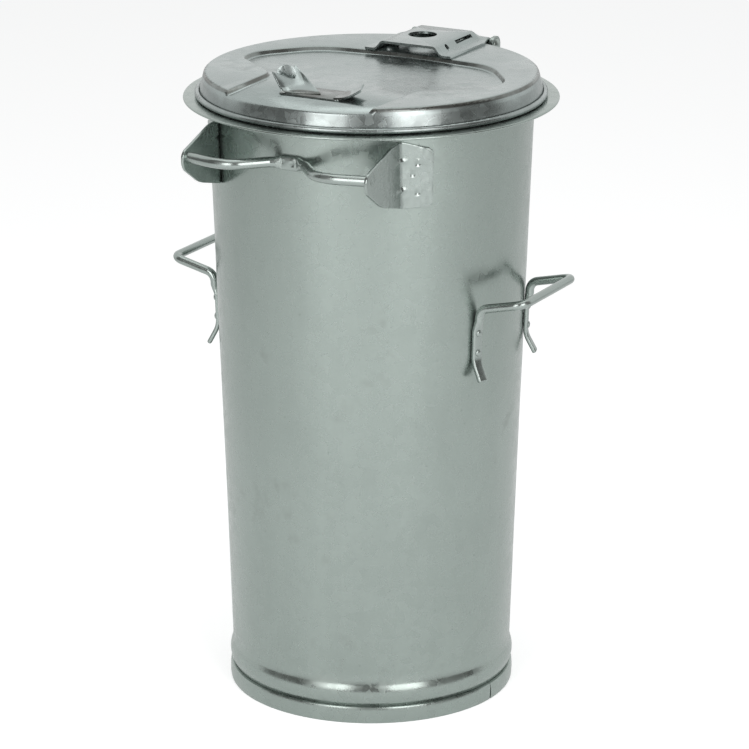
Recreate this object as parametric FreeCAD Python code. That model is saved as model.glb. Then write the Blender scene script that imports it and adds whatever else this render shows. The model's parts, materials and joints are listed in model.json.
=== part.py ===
import FreeCAD, Part
import math
import os

# Galvanized steel trash can of the 50 litre class, with a lid on a rear hinge.
# Millimetres. The origin is on the can's axis at floor level, +Z is up, and -Y is
# the front, where the bar is. The hinge is at the rear, +Y, and the two lifting
# handles are at -X and +X.

# ---------------------------------------------------------------- driving sizes
seat = 0.1                      # gap left between pieces that lie on each other
ring_gap = 0.25                 # radial gap between the wall and the rings on it

# tapered wall, its rounded swell at the foot, and the floor pan
foot_radius = 144.8             # outside of the wall, produced down to the floor
mouth_radius = 166.3            # outside of the wall at its top
wall_top = 627.0
wall_bottom = 2.0
wall_sheet = 1.0
swell_low = 18.5
swell_high = 42.0
swell_bulge = 3.4               # how far the swell stands out of the wall
pan_sheet = 1.2
pan_level = 24.0                # underside of the pan's outer zone
pan_skirt_low = 3.5
pan_corner = 5.0
pan_rise = 3.0                  # the middle of the pan is pressed up by this much
pan_rise_radius = 104.0

# strip hoop round the foot, with the slit where its ends meet
hoop_height = 18.0
hoop_strip = 3.2
hoop_crown = 0.5
hoop_edge = 1.0
slit_angle = -5.0
slit_wide = 3.0
slit_narrow = 0.5

# flat ring at the mouth
flange_overhang = 25.2          # how far the ring stands out of the wall
flange_sheet = 2.5
collar_depth = 14.0
collar_sheet = 1.6

# lid with a rolled rim and a sunken panel that is open to the front
lid_gap = 0.8                   # lid rim above the flange
lid_sheet = 1.0
curl_radius = 3.0               # outside of the rolled rim
curl_sheet = 0.9
curl_inset = 14.9               # middle of the rolled rim, in from the flange's edge
curl_end_angle = 112.0
rim_wire_gap = 0.4              # between the wire and the sheet rolled round it
lid_side_lean = 3.6             # how much the side closes in towards the top
lid_rise = 24.6                 # top of the lid above the underside of its rim
lid_top_edge = 4.0              # rounding of the raised top's edge
recess_depth = 5.0
recess_front_edge = 3.0         # rounding where the sunken panel meets the front
recess_step_radius = 2.5
recess_step_slope = 60.0
recess_rear = (91.0, 300.0)     # in from the top's edge, rounding
recess_corners = [              # in from the top's edge, angle from +X, rounding
    (50.6, 35.5, 60.0), (27.3, 5.6, 40.0), (31.5, -4.9, 15.0), (72.0, -35.1, 28.0)]
recess_mouth_half = 75.0        # half the width of the panel's open front

# front bar and the two cheek plates that hold it
bar_diameter = 10.7
bar_drop = 33.0                 # below the wall's top
bar_pad_width = 22.0
bar_pad_tall = 14.0
bar_pad_thick = 6.0
bar_start = (16.5, 5.4)         # distance from the middle, distance out of the wall
bar_route = [(19.5, 6.6, 9.0), (45.8, 35.0, 24.0), (66.0, 37.8, 60.0)]   # and rounding
bar_end_reach = 33.8
bar_weld_marks = (-6.5, 4.0)
tenon_radius = 4.0
weld_ball = 5.0                 # electrode marks are pressed in by a ball of this radius,
weld_lift = 4.0                 # its centre this far above the surface
cheek_x = 103.0                 # middle of each cheek plate
cheek_sheet = 3.0
cheek_outline = [               # past the bar's end, above the bar, rounding
    (-89.0, 27.0, 0.0), (-49.0, 27.0, 14.0), (9.0, 3.0, 9.0),
    (-6.0, -20.0, 18.0), (-49.0, -38.5, 40.0), (-89.0, -45.0, 0.0)]
cheek_tab_width = 34.8          # heights of the tab, its marks and ribs are from the bar
cheek_tab_high = 25.0
cheek_tab_low = -42.0
cheek_tab_slope = 8.0           # how far the tab's top edge drops to its end
cheek_tab_corner = 5.0
cheek_weld_marks = ((14.6, 4.0), (10.6, -7.0), (15.8, -26.5))    # from the crease, height
cheek_rib_heights = (6.0, -23.0)
cheek_rib_radius = 1.4
cheek_rib_reach = 7.0

# lifting handles
handle_rod = 9.0
handle_reach = 49.5             # from the legs to the grip
handle_rise = 11.5
handle_half_span = 57.0
handle_height = 437.0           # where the legs bend out, above the floor
handle_bend = 11.0
handle_corner = 10.0
left_handle_drop = 4.5          # the left handle is riveted on a little lower
leg_width = 12.0
leg_thick = 5.0
leg_round_low = 11.0            # these heights are below the bend
leg_flat_top = 19.0
leg_rivets = (25.0, 45.5)
leg_flare = 55.0
leg_flare_length = 22.0
leg_flare_angle = 28.0

# rear hinge
pin_radius = 4.0
pin_clearance = 0.05            # radial, in the eye and in the ears
pin_inset = 7.0                 # in from the flange's edge
pin_drop = 6.0                  # below the top of the lid
pin_head_radius = 7.0
pin_head_height = 3.2
washer_radius = 8.0
washer_sheet = 2.3
ear_sheet = 3.0
ear_radius = 9.5
ear_stem_gap = 0.6              # ear stem behind the flange's edge
ear_length = 67.0               # these are below the wall's top
ear_tab_high = 10.0
ear_tab_low = 64.0
ear_rivets_down = (22.0, 50.0)
ear_tab_width = 29.0
ear_tab_slope = 4.0
ear_tab_corner = 5.0

# hat-shaped strap that joins the lid to the pin
strap_sheet = 2.5
strap_rise = 11.0               # above the top of the lid
strap_top_half = 31.0
strap_side_half = 38.0
strap_foot_half = 50.0
strap_length = 106.5            # these are forward of the pin
strap_foot_end = 28.5
strap_top_end = 19.5
strap_slope_end = 8.5
strap_slope_rise = 3.6          # height still to lose where the slope ends
strap_eye_half = 43.5
strap_bend = 1.6
strap_hole_radius = 15.0
strap_hole_x = -7.0
strap_hole_ahead = 59.5
eye_gap_half = 12.0             # the eye is cut away in the middle
window_ahead = (63.5, 27.5)
window_height = (6.0, 9.4)      # above the top of the lid
window_inside = 31.6            # the windows start this far from the middle
side_hole_ahead = 84.5
side_hole_height = 6.6
side_hole_radius = 3.0

# lid grip
grip_sheet = 2.0
grip_inset = 47.0               # front edge, in from the edge of the lid's top
grip_depth = 37.0
grip_base_left = -38.0
grip_base_right = 30.0
# the scoops' sections: x, back from the front edge, above the sunken panel
grip_left_rim = [((-46.0, 1.0, 21.8), (-40.0, 19.0, 16.6), (-40.4, 38.0, 21.8)),
                 ((-39.5, 1.0, 11.5), (-26.5, 15.0, 6.4), (-19.5, 26.0, 12.0)),
                 ((-33.0, 1.0, 1.8), (-14.5, 6.5, 0.6), (4.0, 12.0, 1.8))]
grip_right_rim = [((57.0, 1.0, 14.5), (46.5, 17.0, 9.2), (42.0, 32.0, 12.5)),
                  ((25.0, 1.0, 1.8), (23.5, 18.3, 0.8), (22.0, 35.5, 1.8))]
tongue_width = 30.0
tongue_height = 11.0

# rivets of the handles and ears
rivet_head_radius = 3.6
rivet_head_height = 1.8
rivet_shank_radius = 1.9
rivet_tail_radius = 3.6
rivet_tail_height = 1.2
rivet_clearance = 0.1

# ---------------------------------------------------------------- worked out
taper = (mouth_radius - foot_radius) / wall_top
flange_radius = mouth_radius + flange_overhang
flange_low = wall_top + seat
flange_high = flange_low + flange_sheet
lid_low = flange_high + lid_gap
lid_top = lid_low + lid_rise
recess_floor = lid_top - recess_depth
curl_z = lid_low + curl_radius
curl_centre_radius = flange_radius - curl_inset
lid_side_low_radius = curl_centre_radius - curl_radius + lid_sheet
lid_side_top_radius = lid_side_low_radius - lid_side_lean
bar_height = wall_top - bar_drop
bar_end_y = -(foot_radius + taper * bar_height + bar_end_reach)
pin_y = flange_radius - pin_inset
pin_z = lid_top - pin_drop
ear_x = strap_eye_half + washer_sheet + 2 * seat + ear_sheet / 2
eye_radius = pin_radius + pin_clearance + strap_sheet
strap_top = lid_top + strap_rise
strap_foot_top = lid_top + seat + strap_sheet
grip_front = -(lid_side_top_radius - grip_inset)
ORIGIN = FreeCAD.Vector(0, 0, 0)
UP = FreeCAD.Vector(0, 0, 1)
ALONG_X = FreeCAD.Vector(1, 0, 0)
ALONG_Y = FreeCAD.Vector(0, 1, 0)


# ---------------------------------------------------------------- helpers
def vec(x, y, z=0.0):
    return FreeCAD.Vector(x, y, z)


def line(a, b):
    return Part.LineSegment(a, b).toShape()


def arc(a, middle, b):
    return Part.Arc(a, middle, b).toShape()


def polar(radius, degrees, z=0.0):
    angle = math.radians(degrees)
    return vec(radius * math.cos(angle), radius * math.sin(angle), z)


def wall_radius(z):
    """Outside radius of the tapered wall at a height."""
    return foot_radius + taper * z


def wall_normal(degrees):
    """Straight out of the tapered wall."""
    return polar(1.0, degrees, -taper)


def wall_depth(x, z, clear=0.0):
    """How far in front of (or behind) the axis the wall is at an offset x."""
    return math.sqrt((wall_radius(z) + clear) ** 2 - x * x)


def rounded_path(points, closed=False):
    """Straight runs through (point, rounding) pairs, joined by tangent arcs."""
    count = len(points)
    starts, ends, middles = [], [], []
    for i, (corner, radius) in enumerate(points):
        if radius == 0 or (not closed and i in (0, count - 1)):
            starts.append(corner)
            ends.append(corner)
            middles.append(None)
            continue
        back = (points[i - 1][0] - corner).normalize()
        ahead = (points[(i + 1) % count][0] - corner).normalize()
        half = back.getAngle(ahead) / 2
        cut = radius / math.tan(half)
        inward = (back + ahead).normalize()
        starts.append(corner + back * cut)
        ends.append(corner + ahead * cut)
        middles.append(corner + inward * (radius / math.sin(half) - radius))
    edges = []
    for i in range(count):
        if middles[i] is not None:
            edges.append(arc(starts[i], middles[i], ends[i]))
        following = i + 1
        if following == count and not closed:
            break
        goal = starts[following % count]
        if (goal - ends[i]).Length > 1e-6:
            edges.append(line(ends[i], goal))
    return edges


def outline(points):
    """Closed wire through (point, rounding) pairs."""
    return Part.Wire(rounded_path(points, closed=True))


def plate(corners, x_middle, sheet):
    """Flat plate across X from an outline of (y, z, rounding)."""
    points = [(vec(x_middle - sheet / 2, y, z), r) for y, z, r in corners]
    return Part.Face(outline(points)).extrude(vec(sheet, 0, 0))


def spin(edges, degrees=360.0, start=0.0):
    """Solid of revolution about the can's axis from a closed profile in the XZ plane."""
    face = Part.Face(Part.Wire(edges))
    face.rotate(ORIGIN, UP, start)
    return face.revolve(ORIGIN, UP, degrees)


def spin_polygon(points, degrees=360.0, start=0.0):
    corners = [vec(r, 0, z) for r, z in points]
    edges = [line(corners[i], corners[(i + 1) % len(corners)]) for i in range(len(corners))]
    return spin(edges, degrees, start)


def block(low, high):
    size = [high[i] - low[i] for i in range(3)]
    return Part.makeBox(size[0], size[1], size[2], vec(*low))


def rod_between(a, b, radius):
    return Part.makeCylinder(radius, (b - a).Length, a, b - a)


def pipe(edges, radius):
    """Round rod along tangent runs and arcs."""
    route = Part.Wire(edges)
    first = edges[0]
    start = first.valueAt(first.FirstParameter)
    direction = first.tangentAt(first.FirstParameter)
    ring = Part.Wire([Part.makeCircle(radius, start, direction)])
    return route.makePipeShell([ring], True, False)


def oval(centre, across, through, width, depth):
    """Four-arc section: a circle when width and depth agree, else a flattened rod."""
    across, through = vec(*across).normalize(), vec(*through).normalize()
    half_w, half_d = width / 2, depth / 2
    bulge = min(half_w, half_d) * (1 - math.sqrt(0.5))
    flat = 1.0 if width == depth else 0.4
    corner_w, corner_d = half_w - bulge, half_d - bulge * flat
    corners = [(corner_w, corner_d), (-corner_w, corner_d),
               (-corner_w, -corner_d), (corner_w, -corner_d)]
    mids = [(0, half_d), (-half_w, 0), (0, -half_d), (half_w, 0)]
    place = [centre + across * a + through * b for a, b in corners]
    mid = [centre + across * a + through * b for a, b in mids]
    return Part.Wire([arc(place[i], mid[i], place[(i + 1) % 4]) for i in range(4)])


def loft(wires):
    return Part.makeLoft(wires, True, True)


def thick_arc(first, middle, last, sheet):
    """Wire of a sagging sheet's section: an arc, and the same arc moved the way it sags."""
    near = [vec(*p) for p in (first, middle, last)]
    sag = near[1] - (near[0] + near[2]) / 2
    far = [p + sag / sag.Length * sheet for p in near]
    return Part.Wire([arc(*near), line(near[2], far[2]), arc(*far[::-1]), line(far[0], near[0])])


def mirrored(shape, drop=0.0):
    """The left-hand copy of a right-hand piece, lowered along the wall if asked."""
    other = shape.mirror(ORIGIN, ALONG_X)
    other.translate(vec(taper * drop, 0, -drop))
    return other


def as_group(solids):
    return Part.makeCompound(solids)


def rivet(seat_point, outward, grip):
    """Domed rivet: its head lies on seat_point and its shank passes the grip."""
    r, h, shank, tail = rivet_head_radius, rivet_head_height, rivet_shank_radius, rivet_tail_radius
    sphere = (r ** 2 + h ** 2) / (2 * h)
    half = math.asin(r / sphere) / 2
    dome = vec(sphere * math.sin(half), 0, h - sphere + sphere * math.cos(half))
    low = -grip - 3 * seat
    end = low - rivet_tail_height
    points = [vec(0, 0, h), vec(r, 0, 0), vec(shank, 0, 0), vec(shank, 0, low),
              vec(tail, 0, low), vec(tail * 0.7, 0, end), vec(0, 0, end)]
    edges = [arc(points[0], dome, points[1])]
    edges += [line(points[i], points[(i + 1) % 7]) for i in range(1, 7)]
    body = Part.Face(Part.Wire(edges)).revolve(ORIGIN, UP, 360)
    direction = vec(*outward).normalize()
    body.Placement = FreeCAD.Placement(seat_point + direction * seat,
                                       FreeCAD.Rotation(UP, direction))
    return body


def drill(seat_point, outward, grip):
    """The hole that a rivet's shank passes."""
    direction = vec(*outward).normalize()
    return rod_between(seat_point + direction * 6, seat_point - direction * (grip + 12),
                       rivet_shank_radius + rivet_clearance)


def wall_cone(clear):
    """The space that the tapered wall fills, grown by a clearance."""
    return spin_polygon([(0, 0), (wall_radius(0) + clear, 0),
                         (wall_radius(wall_top) + clear, wall_top), (0, wall_top)])


def wall_tab(start, span, low, high, slope, sheet, corner):
    """Plate rolled round the outside of the wall, its far top corner cut on a slope."""
    inner, outer = seat, seat + sheet
    shell = spin_polygon([(wall_radius(low) + inner, low), (wall_radius(low) + outer, low),
                          (wall_radius(high) + outer, high), (wall_radius(high) + inner, high)],
                         span, start)
    within = 0.85 * wall_radius(low)
    near, far = polar(within, start - math.copysign(6, span)), polar(within, start + span)
    corners = [vec(near.x, near.y, low - 1), vec(far.x, far.y, low - 1)]
    corners += [vec(far.x, far.y, high - slope), vec(near.x, near.y, high + slope * 0.4)]
    face = Part.Face(outline([(corners[0], 0), (corners[1] + UP, corner),
                              (corners[2], corner), (corners[3], 0)]))
    middle = polar(1, start + span / 2)
    return shell.common(face.extrude(middle * within / 3))


# ---------------------------------------------------------------- can body
def wall_profile_arc(low, high, inset):
    middle = (low + high) / 2
    return arc(vec(wall_radius(low) - inset, 0, low),
               vec(wall_radius(middle) + swell_bulge - inset, 0, middle),
               vec(wall_radius(high) - inset, 0, high))


def body_shell():
    def corner(z, inset):
        return vec(wall_radius(z) - inset, 0, z)
    t = wall_sheet
    edges = [line(corner(wall_bottom, 0), corner(swell_low, 0)),
             wall_profile_arc(swell_low, swell_high, 0),
             line(corner(swell_high, 0), corner(wall_top, 0)),
             line(corner(wall_top, 0), corner(wall_top, t)),
             line(corner(wall_top, t), corner(swell_high, t)),
             wall_profile_arc(swell_low, swell_high, t),
             line(corner(swell_low, t), corner(wall_bottom, t)),
             line(corner(wall_bottom, t), corner(wall_bottom, 0))]
    return spin(Part.__sortEdges__(edges))


def floor_pan():
    def skirt(z, inset):
        return wall_radius(z) - wall_sheet - ring_gap - inset
    t = pan_sheet
    low, level, top = pan_skirt_low, pan_level, pan_level + pan_sheet
    step = pan_rise_radius
    outside = [(vec(skirt(low, 0), 0, low), 0), (vec(skirt(top, 0), 0, top), pan_corner),
               (vec(step + 8, 0, top), 0), (vec(step, 0, top + pan_rise), 0),
               (vec(0, 0, top + pan_rise), 0)]
    inside = [(vec(0, 0, level + pan_rise), 0), (vec(step, 0, level + pan_rise), 0),
              (vec(step + 8, 0, level), 0), (vec(skirt(level, t), 0, level), pan_corner - t),
              (vec(skirt(low, t), 0, low), 0)]
    edges = rounded_path(outside) + rounded_path(inside)
    edges.append(line(outside[-1][0], inside[0][0]))
    edges.append(line(inside[-1][0], outside[0][0]))
    return spin(Part.__sortEdges__(edges))


def base_hoop():
    inner_low = wall_radius(0) + ring_gap
    inner_high = wall_radius(hoop_height) + ring_gap
    outer = inner_high + hoop_strip
    e = hoop_edge
    edges = [line(vec(inner_low, 0, 0), vec(outer - e, 0, 0)),
             line(vec(outer - e, 0, 0), vec(outer, 0, e)),
             arc(vec(outer, 0, e), vec(outer + hoop_crown, 0, hoop_height / 2),
                 vec(outer, 0, hoop_height - e)),
             line(vec(outer, 0, hoop_height - e), vec(outer - e, 0, hoop_height)),
             line(vec(outer - e, 0, hoop_height), vec(inner_high, 0, hoop_height)),
             line(vec(inner_high, 0, hoop_height), vec(inner_low, 0, 0))]
    hoop = spin(edges)
    low, high = inner_low - 3, outer + 3
    wedge = Part.Face(Part.makePolygon([vec(low, -slit_wide / 2, -1), vec(low, slit_wide / 2, -1),
                                        vec(low, slit_narrow / 2, hoop_height + 1),
                                        vec(low, -slit_narrow / 2, hoop_height + 1),
                                        vec(low, -slit_wide / 2, -1)])).extrude(vec(high - low, 0, 0))
    wedge.rotate(ORIGIN, UP, slit_angle)
    return hoop.cut(wedge)


def rim_flange():
    def collar(z, inset):
        return wall_radius(z) - wall_sheet - ring_gap - inset
    low = wall_top - collar_depth
    r = flange_radius
    half = flange_sheet / 2
    inner_top = collar(wall_top, collar_sheet)
    edges = [line(vec(collar(low, 0), 0, low), vec(collar(flange_low, 0), 0, flange_low)),
             line(vec(collar(flange_low, 0), 0, flange_low), vec(r - half, 0, flange_low)),
             arc(vec(r - half, 0, flange_low), vec(r, 0, flange_low + half),
                 vec(r - half, 0, flange_high)),
             line(vec(r - half, 0, flange_high), vec(inner_top + 2, 0, flange_high)),
             line(vec(inner_top + 2, 0, flange_high), vec(inner_top, 0, flange_high - 2)),
             line(vec(inner_top, 0, flange_high - 2), vec(collar(low, collar_sheet), 0, low)),
             line(vec(collar(low, collar_sheet), 0, low), vec(collar(low, 0), 0, low))]
    return spin(edges)


# ---------------------------------------------------------------- front bar
def front_bar():
    radius = bar_diameter / 2
    pad_y = -(wall_depth(0, bar_height) + seat + bar_pad_thick / 2)
    half = bar_pad_width / 2
    wall = wall_radius(bar_height)
    start = vec(bar_start[0], -wall - bar_start[1], bar_height)
    route = [(start, 0)] + [(vec(x, -wall - reach, bar_height), r) for x, reach, r in bar_route]
    shoulder = cheek_x - cheek_sheet / 2 - seat
    end = vec(shoulder, bar_end_y, bar_height)
    last = route[-1][0]
    route.append((end + (end - last).normalize() * 2, 0))
    edges = rounded_path(route)
    leg = pipe(edges, radius).cut(block((shoulder, bar_end_y - 30, bar_height - 2 * radius),
                                        (shoulder + 9, bar_end_y + 30, bar_height + 2 * radius)))
    heading = edges[0].tangentAt(edges[0].FirstParameter)
    sideways = vec(-heading.y, heading.x)
    neck = loft([oval(vec(half - 5, pad_y, bar_height), UP, ALONG_Y, bar_pad_tall, bar_pad_thick),
                 oval(vec(half - 0.5, pad_y - 0.2, bar_height), UP, vec(-0.2, 1),
                      bar_pad_tall - 1.0, bar_pad_thick + 1.2),
                 oval(start, UP, sideways, bar_diameter, bar_diameter)])
    tip = vec(cheek_x + cheek_sheet / 2, bar_end_y, bar_height)
    tenon = rod_between(end - ALONG_X, tip + ALONG_X * 1.2, tenon_radius)
    head = Part.makeCone(tenon_radius + 1.4, tenon_radius - 1.0, 1.6, tip + ALONG_X * seat, ALONG_X)
    right = leg.fuse([neck, tenon, head])
    middle = loft([oval(vec(x, pad_y, bar_height), UP, ALONG_Y, bar_pad_tall, bar_pad_thick)
                   for x in (-half + 5, half - 5)])
    bar = middle.fuse([right, mirrored(right)]).cut(wall_cone(seat))
    for x in bar_weld_marks:
        mark = vec(x, pad_y - bar_pad_thick / 2 - weld_lift, bar_height)
        bar = bar.cut(Part.makeSphere(weld_ball, mark))
    return bar.removeSplitter()


def cheek_plate():
    """Side plate and the tab it is bent into, ribbed over the crease and welded on."""
    corners = [(bar_end_y - ahead, bar_height + up, r) for ahead, up, r in cheek_outline]
    side = plate(corners, cheek_x, cheek_sheet).cut(wall_cone(seat))
    radius = wall_radius(bar_height)
    crease = math.degrees(math.asin((cheek_x - cheek_sheet / 2) / radius)) - 90
    tab = wall_tab(crease, math.degrees(cheek_tab_width / radius), bar_height + cheek_tab_low,
                   bar_height + cheek_tab_high, cheek_tab_slope, cheek_sheet, cheek_tab_corner)
    ribs = []
    for up in cheek_rib_heights:
        z = bar_height + up
        near = vec(cheek_x, -wall_depth(cheek_x, z, cheek_sheet) - cheek_rib_reach, z)
        along = math.degrees((cheek_rib_reach + 2 * cheek_sheet) / radius)
        far = polar(wall_radius(z) + seat + cheek_sheet / 2, crease + along, z)
        ribs.append(rod_between(near, far, cheek_rib_radius))
    whole = side.fuse([tab] + ribs)
    whole = whole.cut(rod_between(vec(cheek_x - 9, bar_end_y, bar_height),
                                  vec(cheek_x + 9, bar_end_y, bar_height), tenon_radius + seat))
    for along, up in cheek_weld_marks:
        z = bar_height + up
        mark = polar(wall_radius(z) + seat + cheek_sheet + weld_lift,
                     crease + math.degrees(along / radius), z)
        whole = whole.cut(Part.makeSphere(weld_ball, mark))
    return whole.removeSplitter()


# ---------------------------------------------------------------- lifting handles
def handle_legs():
    """Angles of the two legs of the +X handle, from +X."""
    radius = wall_radius(handle_height - leg_flat_top) + leg_thick
    angle = math.degrees(math.asin(handle_half_span / radius))
    return (-angle, angle)


def leg_point(angle, down, standoff):
    """Place on a leg: this far below the bend, and out of the wall."""
    z = handle_height - down
    return polar(wall_radius(z) + seat + standoff, angle, z)


def handle_seats():
    places = []
    for angle in handle_legs():
        for down in leg_rivets:
            places.append((leg_point(angle, down, leg_thick), wall_normal(angle)))
    return places


def side_handle():
    low_angle, high_angle = handle_legs()
    pieces = []
    tops = []
    for angle in (low_angle, high_angle):
        out, along = polar(1, angle), polar(1, angle + 90)
        flare = math.radians(leg_flare_angle)
        knee = leg_point(angle, leg_flare, leg_thick / 2)
        foot = knee + (out * math.sin(flare) - UP * math.cos(flare)) * leg_flare_length
        bisect = (out + (out * math.cos(flare) + UP * math.sin(flare))).normalize()
        tilt = out * math.cos(flare) + UP * math.sin(flare)
        top = leg_point(angle, leg_round_low, handle_rod / 2 + 3 * seat)
        pieces.append(loft([
            oval(foot, along, tilt, leg_width - 0.8, leg_thick),
            oval(knee, along, bisect, leg_width, leg_thick * 1.07),
            oval(leg_point(angle, leg_flat_top, leg_thick / 2), along, out, leg_width, leg_thick),
            oval(top, along, out, handle_rod, handle_rod)]))
        tops.append(top)
    reach = tops[0].x + handle_reach
    grip_z = handle_height + handle_rise
    first, last = tops
    route = [(first, 0), (vec(first.x, first.y, handle_height), handle_bend),
             (vec(reach, -handle_half_span, grip_z), handle_corner),
             (vec(reach, handle_half_span, grip_z), handle_corner),
             (vec(last.x, last.y, handle_height), handle_bend), (last, 0)]
    handle = pipe(rounded_path(route), handle_rod / 2).fuse(pieces)
    for point, outward in handle_seats():
        handle = handle.cut(drill(point, outward, leg_thick + wall_sheet))
    return handle.removeSplitter()


# ---------------------------------------------------------------- hinge on the can
def ear_seats():
    crease = math.degrees(math.asin((ear_x + ear_sheet / 2) / wall_radius(wall_top)))
    angle = 90 - crease - math.degrees(0.62 * ear_tab_width / wall_radius(wall_top))
    places = []
    for z in [wall_top - down for down in ear_rivets_down]:
        places.append((polar(wall_radius(z) + seat + ear_sheet, angle, z), wall_normal(angle)))
    return places


def hinge_ear():
    stem_in = math.sqrt(flange_radius ** 2 - (ear_x - ear_sheet / 2) ** 2) + ear_stem_gap
    stem_out = pin_y + ear_radius
    under = flange_low - 3 * seat
    low = wall_top - ear_length
    root = wall_depth(ear_x, low) - 15
    corners = [(root, low, 0), (wall_depth(ear_x, low) + 6, low, 12.0),
               (stem_out, under - 18, 16.0), (stem_out, pin_z, 0), (pin_y, pin_z, 0),
               (stem_in, pin_z - ear_radius * 0.6, 0), (stem_in, under, 2.0), (root, under, 0)]
    side = plate(corners, ear_x, ear_sheet)
    eye = rod_between(vec(ear_x - ear_sheet / 2, pin_y, pin_z),
                      vec(ear_x + ear_sheet / 2, pin_y, pin_z), ear_radius)
    side = side.fuse(eye).cut(wall_cone(seat))
    crease = math.degrees(math.asin((ear_x - ear_sheet / 2) / wall_radius(wall_top)))
    tab = wall_tab(90 - crease, -math.degrees(ear_tab_width / wall_radius(wall_top)),
                   wall_top - ear_tab_low, wall_top - ear_tab_high,
                   ear_tab_slope, ear_sheet, ear_tab_corner)
    whole = side.fuse(tab)
    whole = whole.cut(rod_between(vec(ear_x - 9, pin_y, pin_z), vec(ear_x + 9, pin_y, pin_z),
                                  pin_radius + pin_clearance))
    for point, outward in ear_seats():
        whole = whole.cut(drill(point, outward, ear_sheet + wall_sheet))
    return whole.removeSplitter()


def hinge_pin():
    """Steel pin with a domed head at each end, peened over the ears."""
    face_x = ear_x + ear_sheet / 2 + seat
    pin = rod_between(vec(-face_x - 0.5, pin_y, pin_z), vec(face_x + 0.5, pin_y, pin_z), pin_radius)
    sphere = (pin_head_radius ** 2 + pin_head_height ** 2) / (2 * pin_head_height)
    for side in (-1, 1):
        centre = vec(side * (face_x + pin_head_height - sphere), pin_y, pin_z)
        slab = rod_between(vec(side * face_x, pin_y, pin_z),
                           vec(side * (face_x + pin_head_height + 1), pin_y, pin_z),
                           pin_head_radius)
        pin = pin.fuse(Part.makeSphere(sphere, centre).common(slab))
    return pin.removeSplitter()


def hinge_washers():
    """One washer each side, between the strap's eye and the ear."""
    inner, outer = strap_eye_half + seat, ear_x - ear_sheet / 2 - seat
    rings = []
    for side in (-1, 1):
        a, b = vec(side * inner, pin_y, pin_z), vec(side * outer, pin_y, pin_z)
        ring = rod_between(a, b, washer_radius)
        hole = rod_between(a - ALONG_X * side, b + ALONG_X * side, pin_radius + pin_clearance)
        rings.append(ring.cut(hole))
    return as_group(rings)


# ---------------------------------------------------------------- lid
def recess_outline(grow, z):
    """The sunken panel's outline at a height, grown outwards."""
    half = [(polar(lid_side_top_radius - inset, angle, z), r)
            for inset, angle, r in recess_corners]
    half.append((vec(recess_mouth_half, -lid_side_top_radius - 60, z), 0))
    other = [(vec(-point.x, point.y, z), r) for point, r in reversed(half)]
    inset, rounding = recess_rear
    wire = outline([(vec(0, lid_side_top_radius - inset, z), rounding)] + half + other)
    if grow == 0:
        return wire
    return wire.makeOffset2D(grow)


def recess_tool(sheet_inset, bands):
    """Cutter of the sunken panel: a floor, a sloped step with rounded foot and top."""
    slope = math.radians(recess_step_slope)
    r = recess_step_radius
    low, high = recess_floor - sheet_inset, lid_top - sheet_inset
    foot = [(r * math.sin(slope * i / bands), low + r * (1 - math.cos(slope * i / bands)))
            for i in range(bands + 1)]
    run = (high - low - 2 * r * (1 - math.cos(slope))) / math.tan(slope)
    end = 2 * r * math.sin(slope) + run
    top = [(end - offset, high - (z - low)) for offset, z in reversed(foot)]
    # the inner skin's step lies one sheet outside the outer skin's
    shift = sheet_inset * math.tan(slope / 2)
    stations = foot + top
    wires = [recess_outline(offset + shift, z) for offset, z in stations]
    last_offset = stations[-1][0] + shift
    wires.append(recess_outline(last_offset, high + 8))
    return loft(wires)


def lid_block(top, edge, inset):
    """Everything under the lid's outer or inner surface, down to the rolled rim."""
    low = curl_z + curl_radius + 0.2
    foot_r, top_r = lid_side_low_radius - inset, lid_side_top_radius - inset
    lean = (foot_r - top_r) / (lid_top - lid_top_edge - low)
    side_top = foot_r - lean * (top - low)
    points = [(vec(0, 0, low), 0), (vec(foot_r, 0, low), 0), (vec(side_top, 0, top), edge),
              (vec(0, 0, top), 0)]
    edges = rounded_path(points)
    edges.append(line(points[-1][0], points[0][0]))
    return spin(edges)


def lid_skin(inset, bands):
    """The solid under one skin of the lid, with the sunken panel in it."""
    high = lid_block(lid_top - inset, lid_top_edge - inset, inset)
    low = lid_block(recess_floor - inset, recess_front_edge - inset, inset)
    return high.cut(recess_tool(inset, bands)).fuse(low)


def lid_curl():
    """Rolled rim: the sheet goes down inside the wire and round it, almost closed."""
    c, z = curl_centre_radius, curl_z
    ro, ri = curl_radius, curl_radius - curl_sheet
    top = curl_z + curl_radius + 0.2

    def on(radius, degrees):
        angle = math.radians(degrees)
        return vec(c + radius * math.cos(angle), 0, z + radius * math.sin(angle))

    end = curl_end_angle
    edges = [line(vec(lid_side_low_radius - lid_sheet, 0, top), vec(lid_side_low_radius, 0, top)),
             line(vec(lid_side_low_radius, 0, top), on(ri, 180)),
             arc(on(ri, 180), on(ri, 270), on(ri, 360)), arc(on(ri, 0), on(ri, end / 2), on(ri, end)),
             line(on(ri, end), on(ro, end)),
             arc(on(ro, end), on(ro, end / 2), on(ro, 0)), arc(on(ro, 360), on(ro, 270), on(ro, 180)),
             line(on(ro, 180), vec(lid_side_low_radius - lid_sheet, 0, top))]
    return spin(edges)


def lid_pan():
    shell = lid_skin(0, 3).cut(lid_skin(lid_sheet, 1))
    return shell.fuse(lid_curl()).removeSplitter()


def lid_rim_wire():
    wire_radius = curl_radius - curl_sheet - rim_wire_gap
    return Part.makeTorus(curl_centre_radius, wire_radius, vec(0, 0, curl_z))


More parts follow.
